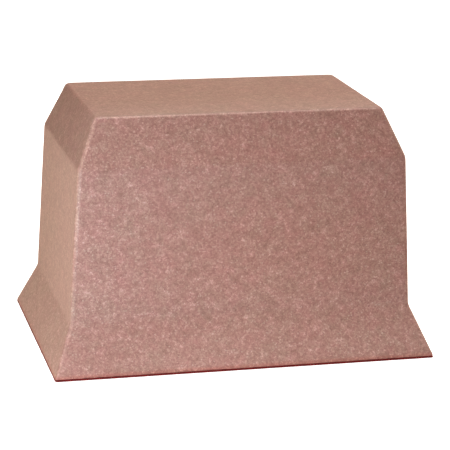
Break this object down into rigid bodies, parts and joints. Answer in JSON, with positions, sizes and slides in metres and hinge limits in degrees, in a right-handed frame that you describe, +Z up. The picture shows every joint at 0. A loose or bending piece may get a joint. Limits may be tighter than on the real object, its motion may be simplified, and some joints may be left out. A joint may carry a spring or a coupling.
{
  "type": "cremation urn",
  "caption": "Rectangular cast-stone urn with hipped top edges, a flared base, and a threaded plug underneath for filling.",
  "frame": {"origin": "middle of the base, on the surface that the urn stands on (the felt's underside)", "axes": "+X along the wide side to the right, -Y towards the front, +Z up"},
  "size_m": [0.2666, 0.189, 0.1727],
  "materials": {
    "cast_stone": "gloss",
    "plate_stone": "matte",
    "sealant": "satin",
    "collar_plastic": "satin",
    "plug_plastic": "satin",
    "seal_rubber": "matte",
    "screw_steel": "satin",
    "base_felt": "matte"
  },
  "bodies": {
    "urn": {"urn_body": "cast_stone", "base_plate": "plate_stone", "sealant_bead": "sealant", "closure_collar": "collar_plastic", "collar_gasket": "seal_rubber", "collar_screw_front_left": "screw_steel", "collar_screw_front_right": "screw_steel", "collar_screw_back_left": "screw_steel", "collar_screw_back_right": "screw_steel", "felt_pad": "base_felt"},
    "plug_seal": {"plug_o_ring": "seal_rubber"},
    "plug": {"screw_plug": "plug_plastic"}
  },
  "joints": [
    {"name": "plug_travel", "type": "slide", "parent": "urn", "child": "plug_seal", "axis": [0, 0, -1], "range_m": [0, 0.012]},
    {"name": "plug_turn", "type": "hinge", "parent": "plug_seal", "child": "plug", "pos_m": [0, 0, 0], "axis": [0, 0, -1], "range_deg": [0, 1080]}
  ],
  "couplings": [
    {"joint": "plug_travel", "follows": "plug_turn", "m_per_rad": 0.00063662}
  ]
}
